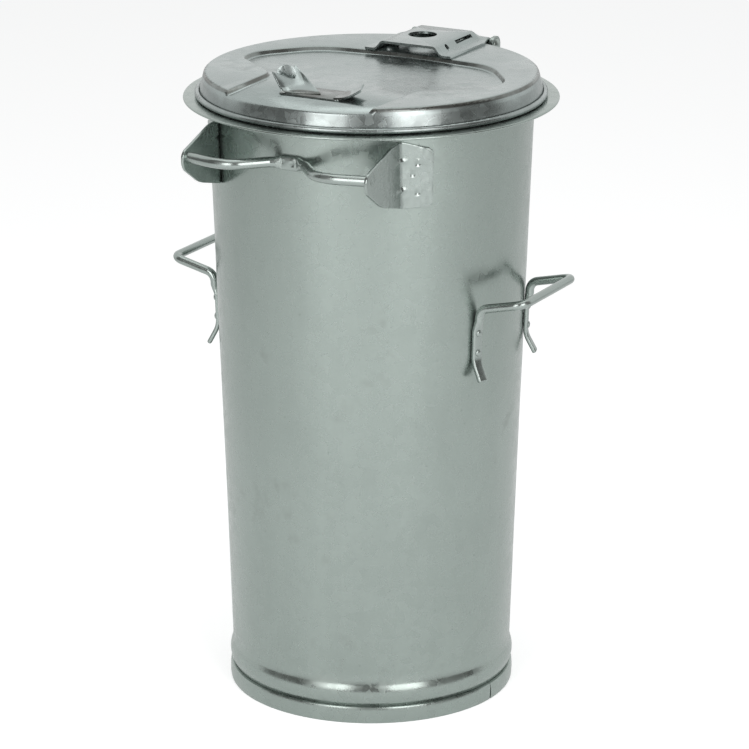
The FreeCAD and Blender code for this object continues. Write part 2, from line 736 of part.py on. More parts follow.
def hat_section(y, top_half, side_half, foot_half, top_z, foot_z):
    """Section of the strap across X: a flat top, sloped sides and flat feet."""
    key = [(-foot_half, foot_z), (-side_half, foot_z), (-top_half, top_z),
           (top_half, top_z), (side_half, foot_z), (foot_half, foot_z)]
    path = [key[0]]
    for i in range(1, 5):
        here = FreeCAD.Vector(key[i][0], key[i][1], 0)
        for other in (i - 1, i + 1):
            there = FreeCAD.Vector(key[other][0], key[other][1], 0)
            step = here + (there - here).normalize() * strap_bend
            path.append((step.x, step.y))
    path.append(key[5])
    lower = [(x, z - strap_sheet) for x, z in reversed(path)]
    points = [vec(x, y, z) for x, z in path + lower]
    return Part.Wire([line(points[i], points[(i + 1) % len(points)]) for i in range(len(points))])


def hinge_strap():
    eye_top = pin_z + eye_radius
    a, b, f = strap_top_half, strap_side_half, strap_foot_half
    foot = strap_foot_top
    sections = [hat_section(pin_y - strap_length, a, b, f, strap_top, foot),
                hat_section(pin_y - strap_foot_end, a, b, f, strap_top, foot),
                hat_section(pin_y - strap_top_end, a, b + 2, f - 3, strap_top, foot),
                hat_section(pin_y - strap_slope_end, a, b, strap_eye_half,
                            eye_top + strap_slope_rise, eye_top + strap_slope_rise - 0.6),
                hat_section(pin_y, a, b, strap_eye_half, eye_top + 0.01, eye_top)]
    strap = loft(sections)
    left, right = vec(-strap_eye_half, pin_y, pin_z), vec(strap_eye_half, pin_y, pin_z)
    strap = strap.fuse(rod_between(left, right, eye_radius))
    past = strap_foot_half + 10
    bore = rod_between(left - ALONG_X * 3, right + ALONG_X * 3, pin_radius + pin_clearance)
    seam = block((-past, pin_y - eye_radius - 1, pin_z - 0.6),
                 (past, pin_y - pin_radius, pin_z + 0.6))
    notch = block((-eye_gap_half, pin_y - eye_radius - 3, pin_z - eye_radius - 1),
                  (eye_gap_half, pin_y + eye_radius + 1, strap_top))
    hole = Part.makeCylinder(strap_hole_radius, 2 * strap_rise,
                             vec(strap_hole_x, pin_y - strap_hole_ahead, strap_top - strap_rise))
    window = block((window_inside, pin_y - window_ahead[0], lid_top + window_height[0]),
                   (past, pin_y - window_ahead[1], lid_top + window_height[1]))
    y, z = pin_y - side_hole_ahead, lid_top + side_hole_height
    side_hole = rod_between(vec(-past, y, z), vec(past, y, z), side_hole_radius)
    for tool in (bore, seam, notch, hole, window, mirrored(window), side_hole):
        strap = strap.cut(tool)
    return strap.removeSplitter()


def grip_rim(sections):
    """Scoop of sheet through sections given from the grip's front edge."""
    return loft([thick_arc(*[(x, grip_front + back, recess_floor + up) for x, back, up in points],
                           grip_sheet) for points in sections])


def lid_grip():
    """Pressed grip: a flat base with a tall scoop at the left and a low one at the right."""
    low = recess_floor + seat
    base = block((grip_base_left, grip_front, low),
                 (grip_base_right, grip_front + grip_depth, low + grip_sheet))
    front, bottom, rear = [vec(x, grip_front + back, recess_floor + up)
                           for x, back, up in grip_left_rim[0]]
    along = (rear - front).normalize() * (tongue_width / 2)
    out = along.cross(UP).normalize()
    root = bottom - UP * (grip_sheet + 0.4)
    tongue = Part.Face(Part.Wire([
        line(root - along, root + along), line(root + along, bottom + along),
        arc(bottom + along, bottom + UP * tongue_height, bottom - along),
        line(bottom - along, root - along)])).extrude(out * grip_sheet)
    above = Part.makeCylinder(flange_radius, 60, vec(0, 0, low))
    grip = base.fuse([grip_rim(grip_left_rim), grip_rim(grip_right_rim), tongue]).common(above)
    return grip.removeSplitter()


# ---------------------------------------------------------------- build
def rivets(places, grip):
    return as_group([rivet(point, outward, grip) for point, outward in places])


def drill_wall(shape):
    """The wall's holes for the rivets of both handles and both ears."""
    groups = [(handle_seats(), leg_thick + wall_sheet, left_handle_drop),
              (ear_seats(), ear_sheet + wall_sheet, 0.0)]
    for places, grip, drop in groups:
        for point, outward in places:
            tool = drill(point, outward, grip)
            shape = shape.cut([tool, mirrored(tool, drop)])
    return shape


def build():
    pieces = {
        "body_shell": drill_wall(body_shell()),
        "floor_pan": floor_pan(),
        "base_hoop": base_hoop(),
        "rim_flange": rim_flange(),
        "front_bar": front_bar(),
        "hinge_pin": hinge_pin(),
        "hinge_washers": hinge_washers(),
        "lid_pan": lid_pan(),
        "lid_rim_wire": lid_rim_wire(),
        "hinge_strap": hinge_strap(),
        "lid_grip": lid_grip(),
    }
    paired = {
        "cheek_plate": (cheek_plate(), 0.0),
        "side_handle": (side_handle(), left_handle_drop),
        "handle_rivets": (rivets(handle_seats(), leg_thick + wall_sheet), left_handle_drop),
        "hinge_ear": (hinge_ear(), 0.0),
        "ear_rivets": (rivets(ear_seats(), ear_sheet + wall_sheet), 0.0),
    }
    for name, (shape, drop) in paired.items():
        pieces[name + "_right"] = shape
        pieces[name + "_left"] = mirrored(shape, drop)
    return pieces


os.makedirs("parts", exist_ok=True)
for name, shape in build().items():
    shape.exportStep("parts/" + name + ".step")
    solids = shape.Solids
    print(f"{name}: {len(solids)} solid(s), {sum(s.Volume for s in solids) / 1000:.2f} cm3,"
          f" valid {shape.isValid()}")
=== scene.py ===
import json
import math

import bmesh
import bpy
from bpy.props import FloatProperty, FloatVectorProperty, PointerProperty
from mathutils import Matrix, Vector, noise


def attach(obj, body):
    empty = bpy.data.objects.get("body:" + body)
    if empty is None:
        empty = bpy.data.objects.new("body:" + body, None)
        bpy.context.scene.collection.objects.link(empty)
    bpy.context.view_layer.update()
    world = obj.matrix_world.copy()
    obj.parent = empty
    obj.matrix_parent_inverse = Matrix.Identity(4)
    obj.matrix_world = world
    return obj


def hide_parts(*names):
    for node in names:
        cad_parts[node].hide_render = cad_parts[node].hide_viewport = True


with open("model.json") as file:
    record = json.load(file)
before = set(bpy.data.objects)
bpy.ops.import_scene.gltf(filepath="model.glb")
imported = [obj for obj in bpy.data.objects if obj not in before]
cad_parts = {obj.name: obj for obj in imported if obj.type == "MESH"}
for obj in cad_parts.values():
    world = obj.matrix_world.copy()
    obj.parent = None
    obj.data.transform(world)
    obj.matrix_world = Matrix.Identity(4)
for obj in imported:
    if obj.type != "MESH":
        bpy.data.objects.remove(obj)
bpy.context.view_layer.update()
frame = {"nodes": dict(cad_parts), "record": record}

bl_info = {
    "name": "Galvanized trash can",
    "version": (1, 0, 0),
    "blender": (4, 5, 0),
    "location": "View3D > Sidebar > Trash can",
    "description": "Finishes a galvanized steel trash can with a hinged lid",
    "category": "Object",
}

MM = 0.001
AXIS_UP = Vector((0, 0, 1))
# the lid's painted shade lies on this step and below it
LID_STEP = (0.6504, 0.6548)      # heights between which the sunken panel's step lies

# ---------------------------------------------------------------- settings


class CanSettings(bpy.types.PropertyGroup):
    """Colours, roughness and grain of the can's zinc."""

    body_tint: FloatVectorProperty(
        name="Body zinc", description="Colour of the zinc on the wall, ring and hoop",
        default=(0.315, 0.365, 0.340), subtype="COLOR", min=0.0, max=1.0)
    lid_tint: FloatVectorProperty(
        name="Lid zinc", description="Colour of the zinc on the lid",
        default=(0.330, 0.375, 0.365), subtype="COLOR", min=0.0, max=1.0)
    fittings_tint: FloatVectorProperty(
        name="Fittings zinc", description="Colour of the zinc on the bar, handles and hinge",
        default=(0.325, 0.370, 0.350), subtype="COLOR", min=0.0, max=1.0)
    # these stains lie at random; the dark on the lid's step is painted shade with a colour of its
    # own
    stain_tint: FloatVectorProperty(
        name="Stain", description="Colour of the dull stains in corners and low places",
        default=(0.13, 0.13, 0.118), subtype="COLOR", min=0.0, max=1.0)
    body_roughness: FloatProperty(
        name="Body roughness", description="How matt the wall is", default=0.27, min=0.05,
        max=1.0, subtype="FACTOR")
    lid_roughness: FloatProperty(
        name="Lid roughness", description="How matt the lid is", default=0.26, min=0.05,
        max=1.0, subtype="FACTOR")
    fittings_roughness: FloatProperty(
        name="Fittings roughness", description="How matt the rods and plates are",
        default=0.24, min=0.05, max=1.0, subtype="FACTOR")
    spangle: FloatProperty(
        name="Spangle size", description="Width of the zinc's crystals", default=0.009,
        min=0.001, max=0.05, unit="LENGTH")
    edge_angle: FloatProperty(
        name="Crisp edge angle", description="Edges sharper than this stay crisp",
        default=math.radians(32), min=0.0, max=math.pi, subtype="ANGLE")


class StageSettings(bpy.types.PropertyGroup):
    """Camera, lamps and floor."""

    camera_place: FloatVectorProperty(
        name="Camera", description="Where the camera stands",
        default=(1.8213, -3.3544, 1.531), subtype="TRANSLATION", unit="LENGTH")
    look_at: FloatVectorProperty(
        name="Look at", description="The point that the camera looks at",
        default=(0.0, 0.0, 0.330), subtype="TRANSLATION", unit="LENGTH")
    lens: FloatProperty(
        name="Lens", description="Focal length in millimetres on a 36 mm sensor",
        default=184.9, min=10.0)
    shift: FloatProperty(
        name="Shift", description="Sideways shift of the frame", default=0.0042)
    lamp_power: FloatProperty(
        name="Lamp power", description="Power of the left lamp in watts; the others follow it",
        default=24.0, min=0.0)
    floor_tint: FloatVectorProperty(
        name="Floor", description="Colour of the floor", default=(0.8, 0.81, 0.81),
        subtype="COLOR", min=0.0, max=1.0)


# ---------------------------------------------------------------- shader maths


class Value:
    """A shader value. Python's operators on it add Math nodes."""

    def __init__(self, tree, socket):
        self.tree = tree
        self.socket = socket

    def _math(self, operation, *terms):
        node = self.tree.nodes.new("ShaderNodeMath")
        node.operation = operation
        for slot, term in zip(node.inputs, terms):
            plug(self.tree, slot, term)
        return Value(self.tree, node.outputs[0])

    def __add__(self, other):
        return self._math("ADD", self, other)

    def __radd__(self, other):
        return self._math("ADD", other, self)

    def __sub__(self, other):
        return self._math("SUBTRACT", self, other)

    def __rsub__(self, other):
        return self._math("SUBTRACT", other, self)

    def __mul__(self, other):
        return self._math("MULTIPLY", self, other)

    def __rmul__(self, other):
        return self._math("MULTIPLY", other, self)

    def capped(self, limit):
        return self._math("MINIMUM", self, limit)


def plug(tree, slot, term):
    if isinstance(term, Value):
        tree.links.new(term.socket, slot)
    elif isinstance(term, (tuple, list)) and len(term) == 3 and slot.type == "RGBA":
        slot.default_value = (*term, 1.0)
    else:
        slot.default_value = term


class Finish:
    """A material under construction."""

    def __init__(self, name):
        self.material = bpy.data.materials.new(name)
        self.material.use_nodes = True
        self.tree = self.material.node_tree
        self.tree.nodes.clear()

    def add(self, kind, settings=(), inputs=(), output=0):
        """Adds a node: its settings first, then the values or links of its sockets."""
        node = self.tree.nodes.new(kind)
        for name, value in dict(settings).items():
            setattr(node, name, value)
        for name, term in dict(inputs).items():
            plug(self.tree, node.inputs[name], term)
        return Value(self.tree, node.outputs[output]) if len(node.outputs) else None

    def place(self, scale=(1.0, 1.0, 1.0)):
        """Object coordinates in metres, stretched by a scale."""
        here = self.add("ShaderNodeTexCoord", output="Object")
        if scale == (1.0, 1.0, 1.0):
            return here
        return self.add("ShaderNodeMapping", inputs={"Vector": here, "Scale": scale})

    def noise(self, vector, scale, detail=3.0, rough=0.5, distortion=0.0):
        return self.add("ShaderNodeTexNoise", inputs={
            "Vector": vector, "Scale": scale, "Detail": detail, "Roughness": rough,
            "Distortion": distortion})

    def step(self, value, low, high):
        """0 below low, 1 above high, smooth between."""
        return self.add("ShaderNodeMapRange", {"interpolation_type": "SMOOTHSTEP"},
                        {"Value": value, "From Min": low, "From Max": high})

    def mix(self, factor, first, second):
        return self.add("ShaderNodeMix", {"data_type": "RGBA"},
                        {0: factor, 6: first, 7: second}, output=2)

    def scaled(self, colour, factor):
        return self.add("ShaderNodeVectorMath", {"operation": "SCALE"},
                        {0: tuple(colour), "Scale": factor})

    def shader(self, **inputs):
        names = {"color": "Base Color", "roughness": "Roughness", "metallic": "Metallic",
                 "normal": "Normal"}
        surface = self.add("ShaderNodeBsdfPrincipled",
                           inputs={names[k]: v for k, v in inputs.items()})
        self.add("ShaderNodeOutputMaterial", inputs={"Surface": surface})
        return self.material


def zinc(name, tint, stain_tint, roughness, spangle, grain, waviness, cloud=0.10, lid=False):
    """Hot-dip zinc: crystals, clouds, stains, wiped streaks and a slightly wavy surface.

    The lid's zinc also has painted shade on the sunken panel's step, and painted shade in patches
    on its side below the panel.
    """
    f = Finish(name)
    plain = f.place()
    clouds = f.noise(plain, 9.0, 4.0, 0.55, 0.4)
    blotches = f.noise(plain, 38.0, 3.0, 0.6)
    streaks = f.noise(f.place(grain), 1.0, 4.0, 0.62)
    crystals = f.add("ShaderNodeTexVoronoi", {"feature": "F1"},
                     {"Vector": plain, "Scale": 1.0 / spangle, "Randomness": 1.0},
                     output="Color")
    crystal = f.add("ShaderNodeSeparateColor", inputs={"Color": crystals}, output="Red")
    fine = f.noise(plain, 900.0, 2.0, 0.6)
    specks = f.step(f.noise(plain, 260.0, 2.0, 0.5), 0.70, 0.76)
    tone = (1.0 + cloud * 1.6 * (clouds - 0.5) + 0.16 * (streaks - 0.5)
            + 0.09 * (blotches - 0.5) + 0.05 * (crystal - 0.5) + 0.05 * (fine - 0.5)
            - 0.16 * specks)
    stained = f.step(clouds * 0.6 + blotches * 0.4, 0.57, 0.72)
    colour = f.mix(stained * 0.22, f.scaled(tint, tone), tuple(stain_tint))
    if lid:
        height = f.add("ShaderNodeSeparateXYZ", inputs={"Vector": plain}, output="Z")
        low, high = LID_STEP
        step_shade = f.step(height, low, low + 0.0012) * f.step(height, high, high - 0.0008)
        side_shade = f.step(height, low - 0.0022, low - 0.0040)
        patchy = f.step(blotches * 0.5 + clouds * 0.5, 0.40, 0.60)
        # painted shade: the sunken panel's step is darkened, more in some patches than in others
        colour = f.mix(step_shade * (0.45 + 0.35 * patchy), colour, (0.075, 0.070, 0.060))
        # painted shade: the lid's side below the panel is darkened in patches
        colour = f.mix(side_shade * patchy * 0.35, colour, (0.11, 0.115, 0.11))
    rough = (roughness + 0.16 * (blotches - 0.5) + 0.10 * (crystal - 0.5)
             + 0.14 * (streaks - 0.5) + 0.12 * stained)
    waves = f.noise(plain, 21.0, 2.0, 0.5)
    height = waves * waviness + streaks * 0.10 * waviness + blotches * 0.25 * waviness
    height = height + crystal * 0.00001 + fine * 0.000012
    bump = f.add("ShaderNodeBump", inputs={"Strength": 1.0, "Distance": 1.0,
                                           "Height": height})
    return f.shader(color=colour, roughness=rough, metallic=0.93, normal=bump)


def materials():
    """The three finishes, made once."""
    made = bpy.data.materials
    if "wall_zinc" not in made:
        s = bpy.context.scene.can_settings
        zinc("wall_zinc", s.body_tint, s.stain_tint, s.body_roughness, s.spangle,
             (26.0, 26.0, 3.0), 0.00035)
        zinc("lid_zinc", s.lid_tint, s.stain_tint, s.lid_roughness, s.spangle,
             (30.0, 90.0, 30.0), 0.0005, 0.26, True)
        zinc("fittings_zinc", s.fittings_tint, s.stain_tint, s.fittings_roughness, s.spangle,
             (26.0, 26.0, 3.0), 0.00025)
    return made


# ---------------------------------------------------------------- mesh helpers


def object_of(bm, name, finish):
    """An object of a mesh in metres, smooth except at its crisp edges."""
    mesh = bpy.data.meshes.new(name)
    bm.to_mesh(mesh)
    bm.free()
    mesh.polygons.foreach_set("use_smooth", [True] * len(mesh.polygons))
    mesh.set_sharp_from_angle(angle=bpy.context.scene.can_settings.edge_angle)
    mesh.update()
    mesh.materials.append(materials()[finish])
    obj = bpy.data.objects.new(name, mesh)
    bpy.context.scene.collection.objects.link(obj)
    return obj


def finished(bm, name, body, finish, replaced):
    """Makes a piece of a mesh in millimetres that is already in place."""
    bmesh.ops.remove_doubles(bm, verts=bm.verts, dist=1e-4)
    bmesh.ops.recalc_face_normals(bm, faces=bm.faces)
    bmesh.ops.scale(bm, verts=bm.verts, vec=(MM, MM, MM))
    obj = object_of(bm, name, finish)
    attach(obj, body)
    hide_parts(*replaced)


SLOT_OF = {part["node"]: part["material_slot"] for part in frame["record"]["subparts"]}
LID_NODES = set(frame["record"]["behaviour"]["bodies"]["lid"])
FINISH_OF = {"zinc_body": "wall_zinc", "zinc_lid": "lid_zinc",
             "zinc_fittings": "fittings_zinc"}


def merged_copy(node, name, finish):
    """A copy of a solid's mesh with its loose triangles merged and its curves smooth."""
    bm = bmesh.new()
    bm.from_mesh(frame["nodes"][node].data)
    bmesh.ops.remove_doubles(bm, verts=bm.verts, dist=2e-6)
    bmesh.ops.dissolve_degenerate(bm, edges=bm.edges, dist=1e-6)
    obj = object_of(bm, name, finish)
    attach(obj, "lid" if node in LID_NODES else "can")
    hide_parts(node)


def finish_copies(nodes):
    for node in nodes:
        merged_copy(node, node + "_finished", FINISH_OF[SLOT_OF[node]])


# ---------------------------------------------------------------- sizes in millimetres

FOOT_RADIUS = 144.8             # outside of the wall, produced down to the floor
MOUTH_RADIUS = 166.3
WALL_TOP = 627.0
TAPER = (MOUTH_RADIUS - FOOT_RADIUS) / WALL_TOP
LYING = 0.1                     # gap under a plate that lies on the wall
HOOP_HEIGHT = 18.0
SLIT_ANGLE = math.radians(-5.0)     # where the hoop's ends meet, from +X
SLIT_ZONE = 0.12                # radians on each side in which the hoop is cut
SLIT_HALF = 1.5                 # half the slit's width at the floor
SLIT_LEAN = 1.25                # how much less that half is at the top
BAR_HEIGHT = 594.0
BAR_RADIUS = 5.35
BAR_WELDS = ((-6.5, 1.5, 2.2, 1.3), (4.0, 0.5, 1.9, 1.7))   # x, up, width and depth of a pit
BAR_END = -193.5                # where the bar's ends meet the cheek plates
CHEEK_INNER = 101.5             # inner face of each cheek plate
CHEEK_SHEET = 3.0
HANDLE_HEIGHT = 437.0
HANDLE_SPAN = 57.0              # half the distance between a handle's legs
LEFT_HANDLE_DROP = 4.5
LEG_RIVETS = (25.0, 45.5)       # below the bend
GRIP_FRONT = -124.0
PANEL = 650.0                   # the lid's sunken panel


def wall_radius(z):
    return FOOT_RADIUS + TAPER * z


def on_wall(angle, z, out=0.0):
    """Place on the wall, or out of it, at an angle from +X in degrees."""
    a = math.radians(angle)
    r = wall_radius(z) + out
    return Vector((r * math.cos(a), r * math.sin(a), z))


def outward(angle):
    """Level direction away from the can's axis at an angle from +X in degrees."""
    a = math.radians(angle)
    return Vector((math.cos(a), math.sin(a), 0))


# ---------------------------------------------------------------- shaping helpers


def gauss(distance, width):
    return math.exp(-(distance / width) ** 2)


def eased(share):
    """0 up to 0, 1 from 1 on, smooth between."""
    share = min(1.0, max(0.0, share))
    return share * share * (3 - 2 * share)


def everything(bm):
    return bm.verts[:] + bm.edges[:] + bm.faces[:]


def thicken(bm, way):
    """Makes a flat face a plate, by a vector across it."""
    made = bmesh.ops.extrude_face_region(bm, geom=bm.faces[:], use_keep_orig=True)["geom"]
    bmesh.ops.translate(bm, verts=[v for v in made if isinstance(v, bmesh.types.BMVert)],
                        vec=way)
    bmesh.ops.recalc_face_normals(bm, faces=bm.faces)


def soften(bm, sharper, width):
    """Rounds the edges that are sharper than an angle."""
    rims = [e for e in bm.edges if e.is_manifold and e.calc_face_angle(0) > sharper]
    bmesh.ops.bevel(bm, geom=rims, offset=width, offset_type="OFFSET", segments=2,
                    profile=0.5, affect="EDGES", material=-1)


def join_to(bm, part):
    """Adds a part to a mesh, and frees the part."""
    mesh = bpy.data.meshes.new("part")
    part.to_mesh(mesh)
    part.free()
    bm.from_mesh(mesh)
    bpy.data.meshes.remove(mesh)


def close_set(line, spacing):
    """The same line with more points, set at least the spacing apart where it is long."""
    points = [line[0]]
    for start, end in zip(line, line[1:]):
        parts = max(1, int((end - start).length / spacing))
        points += [start.lerp(end, i / parts) for i in range(1, parts + 1)]
    return points


def rounded(points, fine=7):
    """The points of a line whose corners (place, rounding) are turned into arcs."""
    places = [(Vector(p), r) for p, r in points]
    line = []
    for i, (corner, radius) in enumerate(places):
        if not radius or i in (0, len(places) - 1):
            line.append(corner)
            continue
        back = (places[i - 1][0] - corner).normalized()
        ahead = (places[i + 1][0] - corner).normalized()
        half = back.angle(ahead) / 2
        cut = radius / math.tan(half)
        centre = corner + (back + ahead).normalized() * (radius / math.sin(half))
        first, last = corner + back * cut - centre, corner + ahead * cut - centre
        for step in range(fine + 1):
            line.append(centre + first.slerp(last, step / fine).normalized() * radius)
    return line


def spun(bm, profile, steps, closed=True):
    """A ring about the can's axis from the (radius, height) points of its profile."""
    verts = [bm.verts.new((r, 0.0, z)) for r, z in profile]
    pairs = zip(verts, verts[1:] + verts[:1]) if closed else zip(verts, verts[1:])
    edges = [bm.edges.new(pair) for pair in pairs]
    bmesh.ops.spin(bm, geom=verts + edges, cent=(0, 0, 0), axis=AXIS_UP, angle=math.tau,
                   steps=steps, use_merge=True)


def carried(points, start_across, end_across):
    """Frames (tangent, across, through) along a line, turned evenly to end as asked."""
    tangents = []
    for i in range(len(points)):
        before, after = points[max(i - 1, 0)], points[min(i + 1, len(points) - 1)]
        tangents.append((after - before).normalized())
    across = Vector(start_across)
    acrosses, travelled = [], [0.0]
    for i, tangent in enumerate(tangents):
        if i:
            across = tangents[i - 1].rotation_difference(tangent) @ across
            travelled.append(travelled[-1] + (points[i] - points[i - 1]).length)
        across = (across - tangent * across.dot(tangent)).normalized()
        acrosses.append(across)
    goal = Vector(end_across)
    last = tangents[-1]
    miss = math.atan2(acrosses[-1].cross(goal).dot(last), acrosses[-1].dot(goal))
    frames = []
    for tangent, across, way in zip(tangents, acrosses, travelled):
        turn = Matrix.Rotation(miss * way / travelled[-1], 3, tangent)
        across = turn @ across
        frames.append((tangent, across, tangent.cross(across)))
    return frames


def swept(bm, points, sections, start_across, end_across, sides=28):
    """Skins a bar along points. Each section is (half width, half depth, squareness)."""
    frames = carried(points, start_across, end_across)
    east = bm.verts.layers.float.new("east")
    north = bm.verts.layers.float.new("north")
    made = bmesh.ops.create_circle(bm, cap_ends=True, segments=sides, radius=1.0)
    ring = made["verts"]
    for v in ring:
        v[east], v[north] = v.co.x, v.co.y
    edges = list({e for v in ring for e in v.link_edges})

    def lay(verts, i):
        _, across, through = frames[i]
        half_w, half_d, square = sections[i]
        for v in verts:
            a = math.copysign(abs(v[east]) ** square, v[east]) * half_w
            b = math.copysign(abs(v[north]) ** square, v[north]) * half_d
            v.co = points[i] + across * a + through * b

    lay(ring, 0)
    for i in range(1, len(points)):
        made = bmesh.ops.extrude_edge_only(bm, edges=edges)["geom"]
        edges = [e for e in made if isinstance(e, bmesh.types.BMEdge)]
        lay([v for v in made if isinstance(v, bmesh.types.BMVert)], i)
    bmesh.ops.contextual_create(bm, geom=edges)


def domed_ends(points, sections, depth):
    """Closes both ends of a swept bar softly, within its length."""
    out_points, out_sections = [], []
    ends = ((0, 1), (len(points) - 1, -1))
    for end, way in ends:
        inward = (points[end + way] - points[end]).normalized()
        half_w, half_d, square = sections[end]
        shells = []
        for turn in (0.25, 0.5, 0.75):
            angle = turn * math.pi / 2
            shrink = depth * (1 - math.sin(angle))
            shells.append((points[end] + inward * (depth - depth * math.cos(angle)),
                           (half_w - shrink, half_d - shrink, square)))
        shells.append((points[end] + inward * depth, (half_w, half_d, square)))
        if way > 0:
            out_points += [p for p, _ in shells]
            out_sections += [s for _, s in shells]
        else:
            tail = list(reversed(shells))
    body_points, body_sections = points[1:-1], sections[1:-1]
    return (out_points + body_points + [p for p, _ in tail],
            out_sections + body_sections + [s for _, s in tail])


def flat_sheet(bm, corners, thickness, strip, edge=0.6):
    """Flat plate with rounded corners and edges, cut into strips so that it can be bent.

    Corners are (along, up, rounding); the sheet's thickness lies along Y.
    """
    verts = [bm.verts.new((along, 0.0, up)) for along, up, _ in corners]
    bm.faces.new(verts)
    count = len(corners)
    for i, vert in enumerate(verts):
        along, up, rounding = corners[i]
        if not rounding:
            continue
        here = Vector((along, up))
        back = (Vector(corners[i - 1][:2]) - here).normalized()
        ahead = (Vector(corners[(i + 1) % count][:2]) - here).normalized()
        bmesh.ops.bevel(bm, geom=[vert], offset=rounding / math.tan(back.angle(ahead) / 2),
                        offset_type="OFFSET", segments=10, profile=0.5, affect="VERTICES",
                        material=-1)
    thicken(bm, (0.0, thickness, 0.0))
    soften(bm, math.radians(60), edge)
    for axis in (0, 2):
        spread = [v.co[axis] for v in bm.verts]
        normal = Vector((0, 0, 0))
        normal[axis] = 1.0
        cut = math.floor(min(spread) / strip) * strip + strip
        while cut < max(spread):
            bmesh.ops.bisect_plane(bm, geom=everything(bm), dist=1e-4, plane_co=normal * cut,
                                   plane_no=normal)
            cut += strip


def patch(rows, u, v):
    """A smooth sheet through rows of three places, at u along a row and v over the rows."""
    def along(row):
        a, b, c = (Vector(p) for p in row)
        return a * ((1 - u) * (1 - 2 * u)) + b * (4 * u * (1 - u)) + c * (u * (2 * u - 1))
    places = [along(row) for row in rows]
    count = len(places) - 1
    at = min(v * count, count - 1e-6)
    i = int(at)
    t = at - i
    p1, p2 = places[i], places[i + 1]
    p0 = places[i - 1] if i else p1 * 2 - p2
    p3 = places[i + 2] if i + 2 <= count else p2 * 2 - p1
    return 0.5 * (2 * p1 + (p2 - p0) * t + (2 * p0 - 5 * p1 + 4 * p2 - p3) * t ** 2
                  + (3 * p1 - p0 - 3 * p2 + p3) * t ** 3)


def curved_sheet(bm, rows, across, over):
    """A sheet without thickness over a patch."""
    grid = bmesh.ops.create_grid(bm, x_segments=across, y_segments=over, size=0.5)["verts"]
    for v in grid:
        v.co = patch(rows, v.co.x + 0.5, v.co.y + 0.5)
    bmesh.ops.recalc_face_normals(bm, faces=bm.faces)
    bm.normal_update()


# ---------------------------------------------------------------- wall and rings


def wall_mesh():
    """Tapered wall with the swell at its foot, hollow, and dressed a little uneven."""
    sheet, low_end, swell_low, swell_high, bulge = 1.0, 2.0, 18.5, 42.0, 3.4
    heights = [low_end, 10.0, swell_low]
    swell = [swell_low + (swell_high - swell_low) * i / 12 for i in range(1, 13)]
    plain = [swell_high + (WALL_TOP - swell_high) * i / 46 for i in range(1, 47)]
    outside = []
    for z in heights + swell + plain:
        share = (z - swell_low) / (swell_high - swell_low)
        stand = bulge * 4 * share * (1 - share) if 0 < share < 1 else 0.0
        outside.append((wall_radius(z) + stand, z))
    inside = [(r - sheet, z) for r, z in reversed(outside)]
    bm = bmesh.new()
    spun(bm, outside + inside, 224)
    for v in bm.verts:
        z = v.co.z
        calm = min(1.0, max(0.0, (z - 60) / 120)) * min(1.0, max(0.0, (600 - z) / 90))
        place = Vector((v.co.x * 0.9, v.co.y * 0.9, z * 0.45)) * 0.021
        dent = 0.5 + 0.5 * noise.noise(place) + 0.22 * noise.noise(place * 2.3)
        out = Vector((v.co.x, v.co.y, 0)).normalized()
        v.co -= out * (dent * calm * 0.55)
    return bm


def near_slit(face):
    place = face.calc_center_median()
    return abs(math.atan2(place.y, place.x) - SLIT_ANGLE) < SLIT_ZONE


def hoop_mesh():
    """Strip hoop round the foot: its two ends meet in a slit that narrows upwards."""
    inner_low, inner_high = wall_radius(0) + 0.25, wall_radius(HOOP_HEIGHT) + 0.25
    outer = inner_high + 3.2
    profile = [(inner_low, 0.0), (outer - 1.4, 0.0), (outer - 0.45, 0.4), (outer, 1.4),
               (outer + 0.35, 4.5), (outer + 0.5, 9.0), (outer + 0.35, 13.5), (outer, 16.6),
               (outer - 0.45, 17.6), (outer - 1.4, HOOP_HEIGHT), (inner_high, HOOP_HEIGHT)]
    bm = bmesh.new()
    spun(bm, profile, 220)
    out = outward(math.degrees(SLIT_ANGLE))
    across = AXIS_UP.cross(out)
    narrowing = SLIT_LEAN / HOOP_HEIGHT
    for side in (-1, 1):
        near = [f for f in bm.faces if near_slit(f)]
        geom = near + list({e for f in near for e in f.edges} | {v for f in near for v in f.verts})
        bmesh.ops.bisect_plane(bm, geom=geom, dist=1e-4,
                               plane_co=out * outer + across * side * SLIT_HALF,
                               plane_no=(across + AXIS_UP * side * narrowing).normalized())
    gone = []
    for face in filter(near_slit, bm.faces):
        place = face.calc_center_median()
        if abs(place.dot(across)) < SLIT_HALF - narrowing * place.z - 1e-3:
            gone.append(face)
    bmesh.ops.delete(bm, geom=gone, context="FACES")
    bmesh.ops.holes_fill(bm, edges=[e for e in bm.edges if e.is_boundary], sides=0)
    return bm


def flange_mesh():
    """Flat ring at the mouth, with a collar inside the wall."""
    low, high, edge = WALL_TOP + 0.1, WALL_TOP + 2.6, MOUTH_RADIUS + 25.2
    collar_low = wall_radius(WALL_TOP - 14) - 1.25
    collar_high = wall_radius(WALL_TOP) - 1.25
    round_edge = [(edge - 1.25 + 1.25 * math.sin(math.pi * i / 8),
                   low + 1.25 - 1.25 * math.cos(math.pi * i / 8)) for i in range(9)]
    profile = ([(collar_low, WALL_TOP - 14), (collar_high, low), (collar_high + 12, low)]
               + round_edge + [(collar_high + 12, high), (collar_high, high),
                               (collar_high - 1.0, high - 0.4), (collar_high - 1.6, high - 1.6),
                               (collar_low - 1.6, WALL_TOP - 14)])
    bm = bmesh.new()
    spun(bm, profile, 224)
    return bm


# ---------------------------------------------------------------- bar and cheek plates


def pad_relief(place):
    """How far the bar's pad is pressed in at a place: two weld pits with rims, and lumps."""
    relief = 0.35 * noise.noise(place * 0.42)
    for x, up, width, depth in BAR_WELDS:
        away = math.hypot(place.x - x, place.z - BAR_HEIGHT - up)
        relief += depth * gauss(away, width) - 0.5 * gauss(away - 3.4, 1.2)
    return relief


